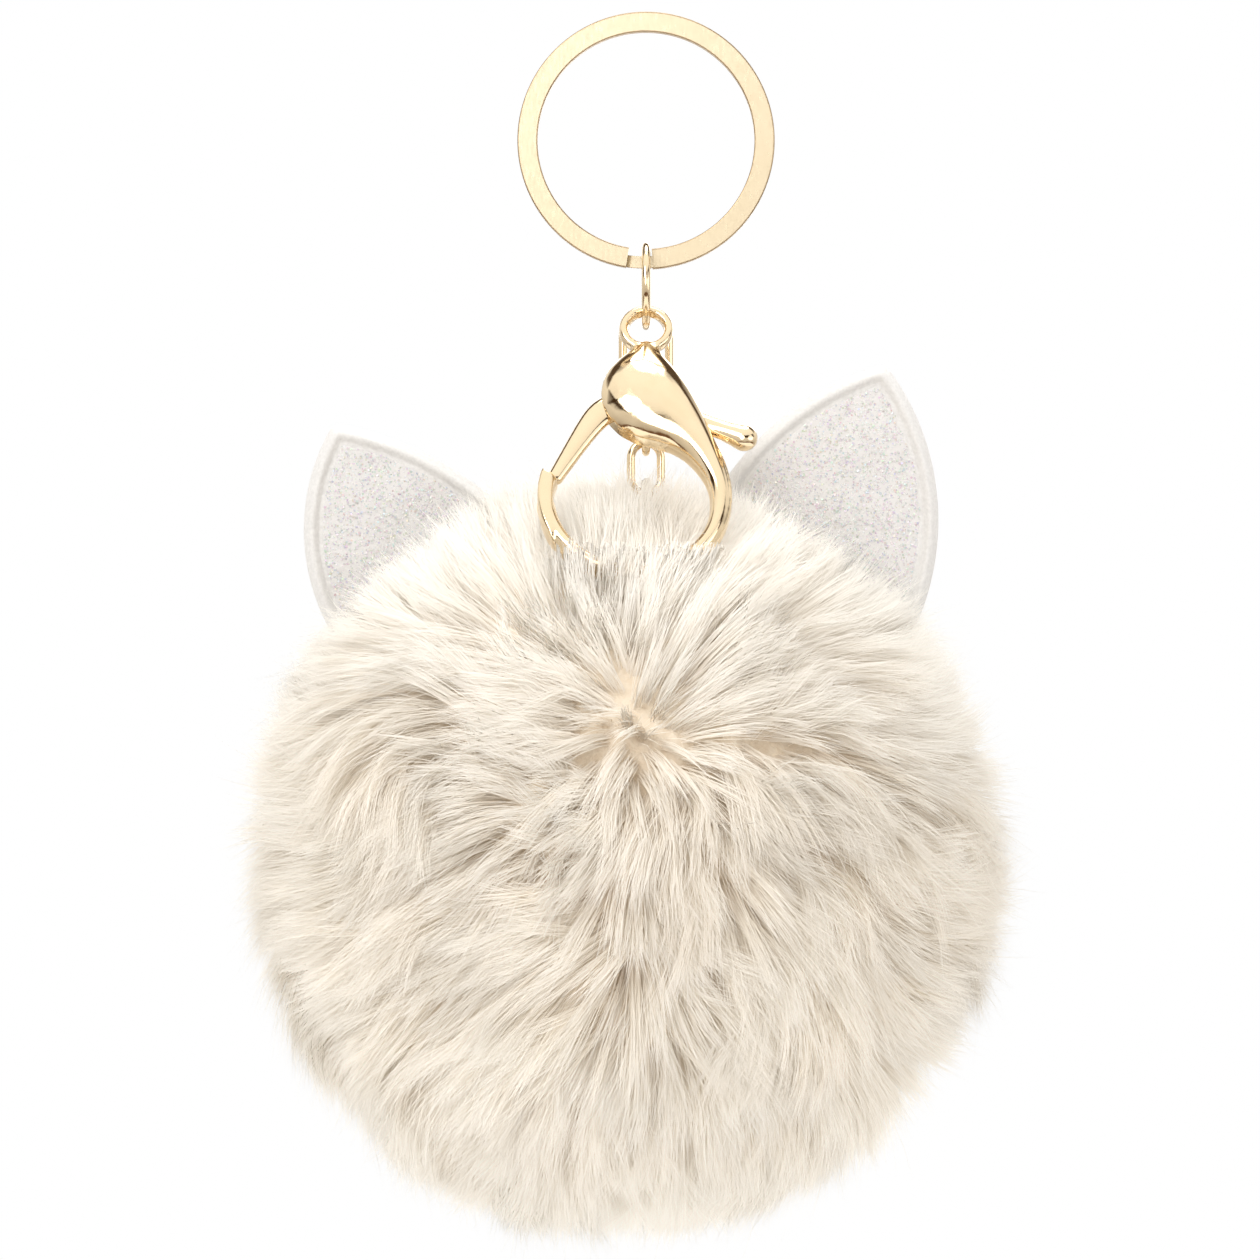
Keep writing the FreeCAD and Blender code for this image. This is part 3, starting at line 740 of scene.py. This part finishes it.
def locks(count, seed, tufts):
    """The lie of each lock: root direction, tangent, mean lean, length, tone."""
    rng = np.random.default_rng(seed)
    way = spread_out(count, seed)
    spot = way * ROOT_R
    swing = 0.30 * field(spot, 24.0, 101) + 0.24 * field(spot, 9.0, 102)
    tuft = nearest(way, tufts["way"])
    swing += tufts["swing"][tuft] + rng.normal(0, 0.13, count)
    lie = flow(way) + 0.16 * tufts["stray"][tuft] + 0.14 * rng.normal(size=(count, 3))
    lie -= way * (lie * way).sum(1, keepdims=True)
    pull = np.linalg.norm(lie, axis=1)
    lean = 9 + 40 * smooth(0.0, 0.8, pull) - 10 * smooth(0.55, 0.9, way[:, 2])
    lean += 6 * field(spot, 12.0, 103) + tufts["lean"][tuft] + rng.normal(0, 5, count)
    lean = np.radians(np.clip(lean, 8, 70))
    tip = TIP_R + 0.55 * field(spot, 13.0, 104) + tufts["reach"][tuft]
    tip += rng.normal(0, 0.5, count)
    length = -ROOT_R * np.cos(lean) + np.sqrt(tip ** 2 - (ROOT_R * np.sin(lean)) ** 2)
    return {
        "way": way, "tuft": tuft, "tangent": turned(unit(lie), way, swing), "lean": lean,
        "length": length, "tight": rng.uniform(0.0, 0.5, count),
        "tone": np.clip(0.5 + 0.22 * field(spot, 9.0, 105) + rng.normal(0, 0.16, count), 0, 1),
    }


def strand_points(lock, of, root, share, reach, loose, rng):
    """Points along each strand: the lock's own bend, plus where the strand stands in it."""
    lean, way, tangent = lock["lean"][of], lock["way"][of], lock["tangent"][of]
    start, bend = 0.45 * lean, 1.1 * lean
    s = share[None, :] * reach[:, None]
    up = (np.sin(start[:, None] + bend[:, None] * s) - np.sin(start)[:, None]) / bend[:, None]
    over = (np.cos(start)[:, None] - np.cos(start[:, None] + bend[:, None] * s)) / bend[:, None]
    length = lock["length"][of][:, None, None]
    middle_line = way[:, None] * ROOT_R + length * (up[..., None] * way[:, None]
                                                   + over[..., None] * tangent[:, None])
    apart = root - way * ROOT_R
    tight = np.where(loose, -0.2, lock["tight"][of])
    together = 1 - tight[:, None] * s ** 1.5
    stray = rng.normal(size=(len(of), 1, 3)) * np.where(loose, 1.1, 0.5)[:, None, None]
    curl = np.sin(s * rng.uniform(3, 7, (len(of), 1)) + rng.uniform(0, 6.3, (len(of), 1)))
    side = np.cross(way, tangent)[:, None] * curl[..., None]
    side = side * rng.uniform(0.05, 0.35, (len(of), 1, 1))
    spread = (stray + side) * s[..., None] ** 1.3
    return middle_line + apart[:, None] * together[..., None] + spread


def gather_tufts(points, lock, of, tufts, share):
    """Draws the locks of one tuft a little together towards their tips."""
    home = lock["way"][of] - tufts["way"][lock["tuft"][of]]
    return points - home[:, None] * ROOT_R * tufts["pull"][lock["tuft"][of]][:, None, None] \
        * (share ** 2)[None, :, None]


def to_clasp(points):
    """Across, behind and along the leaning clasp, from the middle of its eye."""
    c, s = math.cos(LEAN), math.sin(LEAN)
    rel = points - EYE
    return rel[..., 0], rel[..., 1] * c - rel[..., 2] * s, rel[..., 1] * s + rel[..., 2] * c


def from_clasp(across, behind, along):
    c, s = math.cos(LEAN), math.sin(LEAN)
    return np.stack([EYE[0] + across, EYE[1] + behind * c + along * s,
                     EYE[2] - behind * s + along * c], -1)


def clear_of_chain(points):
    """Opens the fur round the chain and the cord."""
    off = points[..., :2] - CHAIN[:2]
    near = np.maximum(np.linalg.norm(off, axis=-1), 1e-3)
    room = np.where(points[..., 2] > CHAIN_FOOT, CHAIN_ROOM, CORD_ROOM)
    room = room * (points[..., 2] > OPEN_TO)
    wide = (near ** 3 + room ** 3) ** (1 / 3)
    points[..., :2] = CHAIN[:2] + off * (wide / near)[..., None]


def clear_of_clasp(points, rng):
    """Presses the fur back behind the hook, and parts it round the hook's buried bottom."""
    across, behind, along = to_clasp(points)
    from_mid = np.hypot(across - HOOK_MID[0], along - HOOK_MID[1])
    soft = rng.uniform(0, 2.2, (len(points), 1))
    wall = WALL + soft - WALL_SLOPE * np.maximum(from_mid - WALL_EDGE, 0)
    cover = HOOK_FOOT + rng.normal(0, 0.4, (len(points), 1))
    wall = np.where((along < cover) | (from_mid > WALL_END), -30.0, wall)
    behind = np.maximum(behind, wall)
    on_rim = (np.abs(from_mid - HOOK_MEAN) < 2.2) & (np.abs(behind) < 2.3)
    depth = 2.2 + rng.uniform(0, 1.6, (len(points), 1))
    behind = np.where(on_rim, np.where(along < cover, -depth, depth), behind)
    points[...] = from_clasp(across, behind, along)


def clear_of_ears(points, rng):
    """Sends the fur in front of an ear or behind it."""
    for side in EARS:
        line = ear_outline(side, 14)
        low, high = line.min(0) - 1, line.max(0) + 1
        x, y, z = points[..., 0], points[..., 1], points[..., 2]
        near = (x > low[0]) & (x < high[0]) & (z > low[1]) & (z < high[1]) \
            & (np.abs(y - EAR_BACK) < EAR_NEAR)
        spots = np.stack([x[near], z[near]], 1)
        if not len(spots):
            continue
        within = inside_outline(spots, line)
        row = np.nonzero(near)[0]
        root_y = points[row, 0, 1] + rng.normal(0, 0.05, len(points))[row]
        away = EAR_PUSH + 0.3 * ((row * 7) % 5) / 5
        goal = EAR_BACK + np.where(root_y < EAR_BACK, -1, 1) * away
        y_new = y.copy()
        y_new[near] = np.where(within, goal, y[near])
        points[..., 1] = y_new


def ribbons(points, wide, roll, share):
    """Two rails along each strand and a shared tip; also the normals to shade it by."""
    count, rows = points.shape[:2]
    ahead = unit(np.gradient(points, axis=1))
    out = unit(points - BALL)
    side = unit(np.cross(ahead, out))
    lift = np.cross(side, ahead)
    angle = roll[:, None, None]
    rail = side * np.cos(angle) + lift * np.sin(angle)
    taper = np.minimum(1.0, 1.25 * (1 - share) ** 0.55 + 0.02)
    half = (wide[:, None] / 2 * taper[None, :])[..., None]
    left, right = points - rail * half, points + rail * half
    verts = np.concatenate([np.stack([left, right], 2)[:, :-1].reshape(count, -1, 3),
                            points[:, -1:]], 1)
    face = unit(np.cross(rail, ahead))
    face = np.where((face * out).sum(-1, keepdims=True) < 0, -face, face)
    normals = unit(0.35 * face + 1.0 * out + 0.15 * ahead)
    normal = np.concatenate([np.repeat(normals[:, :-1], 2, 1), normals[:, -1:]], 1)
    per = 2 * (rows - 1) + 1
    base = np.arange(count)[:, None] * per
    quads = np.concatenate([base + [2 * r, 2 * r + 1, 2 * r + 3, 2 * r + 2]
                            for r in range(rows - 2)])
    last = 2 * (rows - 2)
    tris = base + [last, last + 1, last + 2]
    return verts.reshape(-1, 3), normal.reshape(-1, 3), quads, tris


def fur(material):
    """Strands in locks, locks in tufts; one piece for each sector round the ball."""
    rng = np.random.default_rng(11)
    strand_count = STRANDS
    share = np.linspace(0, 1, 5)
    tufts = {"way": spread_out(TUFTS, 3), "swing": rng.normal(0, 0.22, TUFTS),
             "lean": rng.normal(0, 5.0, TUFTS), "reach": rng.normal(0, 0.45, TUFTS),
             "pull": rng.uniform(0.0, 0.26, TUFTS), "stray": rng.normal(size=(TUFTS, 3))}
    lock = locks(LOCKS, 4, tufts)
    way = spread_out(strand_count, 5)
    of = nearest(way, lock["way"])
    loose = rng.random(strand_count) < LOOSE_SHARE
    reach = np.where(loose, rng.uniform(0.9, 1.06, strand_count),
                     rng.uniform(0.70, 1.0, strand_count) ** 0.6)
    points = strand_points(lock, of, way * ROOT_R, share, reach, loose, rng)
    points = gather_tufts(points, lock, of, tufts, share) + BALL
    clear_of_chain(points)
    clear_of_clasp(points, rng)
    clear_of_ears(points, rng)
    wide = np.where(loose, LOOSE_WIDE, rng.uniform(0.09, 0.155, strand_count))
    roll = np.radians(rng.uniform(-30, 30, strand_count))
    hair = rng.random(strand_count)
    turns = np.arctan2(way[:, 1], way[:, 0]) / (2 * math.pi) + 0.5
    sector = np.floor(turns * SECTORS).astype(int) % SECTORS
    for part in range(SECTORS):
        mine = np.nonzero(sector == part)[0]
        verts, normal, quads, tris = ribbons(points[mine], wide[mine], roll[mine], share)
        obj = new_mesh(f"fur_{part + 1}", verts, [quads, tris])
        per = len(verts) // len(mine)
        level = np.append(np.repeat(share[:-1], 2), 1.0)
        along = reach[mine][:, None] * level[None, :]
        shades = np.stack([along, np.repeat(lock["tone"][of[mine]][:, None], per, 1),
                           np.repeat(hair[mine][:, None], per, 1)], 2).reshape(-1, 3)
        tone(obj, shades)
        obj.data.normals_split_custom_set_from_vertices(normal.astype(np.float32))
        finish_piece(obj, "pompom", "fur", material)


# ---- metal --------------------------------------------------------------------------
# The run of metal from the clasp's neck through its belly and down the arm round the hook:
# across and along from the middle of the eye, then half its width and half its depth; and
# the same for the lever, from its thumb knob through the pivot to its tip.
CASTING = [
    (0.0, -3.0, 1.4, 1.0), (-0.2, -5.0, 2.5, 1.9), (-0.5, -7.6, 4.3, 2.8),
    (-0.4, -9.9, 5.6, 3.4), (1.6, -11.6, 4.5, 3.1), (4.0, -13.7, 3.1, 2.6),
    (6.0, -16.3, 2.1, 2.2), (7.5, -19.3, 1.5, 1.9), (8.6, -22.4, 1.25, 1.7),
    (8.2, -27.1, 1.1, 1.6), (6.0, -30.5, 1.1, 1.6), (2.6, -32.7, 1.1, 1.6),
    (-1.3, -33.5, 1.1, 1.6), (-5.2, -32.7, 1.1, 1.6), (-8.6, -30.5, 1.1, 1.6),
    (-10.8, -27.2, 1.1, 1.6), (-11.5, -24.1, 1.1, 1.6),
]
LEVER = [
    (11.2, -14.9, 1.6, 1.4), (9.6, -14.2, 1.25, 1.1), (7.0, -13.0, 1.2, 0.72),
    (2.0, -11.2, 1.6, 0.72), (-1.5, -10.2, 2.0, 0.72), (-4.7, -10.8, 1.8, 0.72),
    (-6.4, -13.0, 1.5, 0.78), (-8.4, -16.6, 1.2, 0.78), (-10.4, -20.3, 0.95, 0.75),
]


def beaded(name, run):
    """Overlapping beads along a run, to be made into one skin."""
    run = np.array(run)
    for _ in range(2):
        half_way = (run[:-1] + run[1:]) / 2
        doubled = np.empty((len(run) * 2 - 1, 4))
        doubled[0::2], doubled[1::2] = run, half_way
        doubled[1:-1] = (doubled[:-2] + 2 * doubled[1:-1] + doubled[2:]) / 4
        run = doubled
    far = np.concatenate([[0], np.cumsum(np.linalg.norm(np.diff(run[:, :2], axis=0), axis=1))])
    at = np.arange(0, far[-1], 0.4)
    run = np.stack([np.interp(at, far, run[:, n]) for n in range(4)], 1)
    bead = bmesh.new()
    bmesh.ops.create_icosphere(bead, subdivisions=3, radius=1.0)
    round_way = np.array([v.co[:] for v in bead.verts])
    faces = np.array([[v.index for v in f.verts] for f in bead.faces])
    bead.free()
    across = run[:, 0, None] + run[:, 2, None] * round_way[None, :, 0]
    behind = run[:, 3, None] * round_way[None, :, 1]
    along = run[:, 1, None] + run[:, 2, None] * round_way[None, :, 2]
    verts = from_clasp(across, behind, along).reshape(-1, 3)
    first = (np.arange(len(run)) * len(round_way))[:, None, None]
    return new_mesh(name, verts, [(faces[None] + first).reshape(-1, 3)])


def voxel_skin(obj, size_mm):
    """Remakes overlapping skins as one."""
    voxels = obj.modifiers.new("voxels", "REMESH")
    voxels.mode, voxels.voxel_size = "VOXEL", size_mm * MM
    return applied(obj)


def blended(obj, rounds):
    """Softens the edges of a skin."""
    blend = obj.modifiers.new("blend", "SMOOTH")
    blend.factor, blend.iterations = 0.5, rounds
    return applied(obj)


def gate_slot():
    """The slot that the lever turns in, as a cutter."""
    across, behind, along = (-8.5, 9.5), (-0.85, 0.85), (-16.4, -6.4)
    verts = np.array([from_clasp(x, y, z) for x in across for y in behind for z in along])
    quads = np.array([(0, 1, 3, 2), (4, 6, 7, 5), (0, 4, 5, 1), (2, 3, 7, 6), (0, 2, 6, 4),
                      (1, 5, 7, 3)])
    return new_mesh("gate_slot_cutter", verts, [quads], smooth_faces=False)


def cast_clasp(material):
    """The clasp's body as it leaves the mould: one flowing form from the eye to the hook."""
    obj = bpy.data.objects.new("clasp_casting", NODES["clasp_body"].data.copy())
    bpy.context.scene.collection.objects.link(obj)
    mesh = voxel_skin(obj, 0.16)
    across, behind, along = to_clasp(read_points(mesh))
    # Away from the eye and the hook's tip, the stamped plate shrinks into the rounded run.
    slim = 1 - 0.42 * smooth(-3.2, -6.0, along) * smooth(-10.9, -10.2, across)
    write_points(mesh, from_clasp(across, behind * slim, along))
    beads = beaded("casting_beads", CASTING)
    work = bmesh.new()
    work.from_mesh(obj.data)
    work.from_mesh(beads.data)
    work.to_mesh(obj.data)
    work.free()
    bpy.data.objects.remove(beads)
    voxel_skin(obj, 0.15)
    blended(obj, 16)
    cutter = gate_slot()
    carve = obj.modifiers.new("slot", "BOOLEAN")
    carve.operation, carve.object, carve.solver = "DIFFERENCE", cutter, "EXACT"
    shade_smooth(applied(obj))
    bpy.data.objects.remove(cutter)
    finish_piece(obj, "clasp", "clasp_metal", material, "clasp_body")


def cast_lever(material):
    """The gate lever: a slim rounded arm, a hub in the slot and a tab that ends in a knob."""
    obj = beaded("gate_lever", LEVER)
    voxel_skin(obj, 0.13)
    shade_smooth(blended(obj, 10))
    finish_piece(obj, "gate", "clasp_metal", material, "clasp_gate")


# ---- the whole --------------------------------------------------------------------
def metals():
    """Colours every metal node, and casts the clasp's body and lever anew."""
    gold, satin, steel = polished_gold(), satin_gold(), drawn_steel()
    looks = {"split_ring": satin, "clasp_pin": steel, "clasp_spring": steel}
    for name in ("jump_ring", "upper_link", "middle_link", "lower_link", "clasp_body",
                 "clasp_gate", "split_ring", "clasp_pin", "clasp_spring"):
        slots = NODES[name].data.materials
        look = looks.get(name, gold)
        if len(slots) == 0:
            slots.append(look)
        for n in range(len(slots)):
            slots[n] = look
    cast_clasp(gold)
    cast_lever(gold)


def ears():
    cloth = fibre_cloth("ear_cloth", (0.72, 0.715, 0.71), (0.82, 0.815, 0.81), 2.6, 0.12, 0.3)
    sparkle, flake = sparkle_cloth(), glitter()
    for side in EARS:
        ear(side, cloth, sparkle, flake)


def cords():
    cord_look = fibre_cloth("cord_ply", (0.55, 0.52, 0.48), (0.90, 0.88, 0.84), 3.2, 0.08)
    hanging_cord(cord_look)
    knot(cord_look)
    thread(cord_look)


def ball():
    """Stuffing, backing, undercoat and fur, from the inside out."""
    filling = fibre_cloth("filling_fibre", (0.84, 0.84, 0.83), (0.95, 0.95, 0.94), 0.7, 0.4)
    backing = fibre_cloth("backing_weave", (0.50, 0.42, 0.33), (0.68, 0.60, 0.50), 1.4, 0.15)
    wool = fibre_cloth("undercoat", (0.80, 0.68, 0.53), (0.90, 0.81, 0.68), 0.9, 0.5)
    wad = lumpy_ball("stuffing_wad", 27.6, 0.25, 11.0, 21, 5)
    finish_piece(wad, "pompom", "stuffing", filling, "stuffing")
    skin = lumpy_ball("backing_cloth", 29.3, 0.1, 16.0, 22, 5)
    finish_piece(skin, "pompom", "backing", backing, "fur_backing")
    coat = lumpy_ball("undercoat", 36.4, 0.6, 6.0, 23, 6)
    finish_piece(coat, "pompom", "fur", wool, "fur_pile")
    fur(fur_strands())


def main():
    camera()
    bpy.context.scene.view_settings.view_transform = "Standard"
    studio()
    for light in LIGHTS:
        soft_light(*light)
    floor()
    metals()
    ears()
    cords()
    ball()


main()
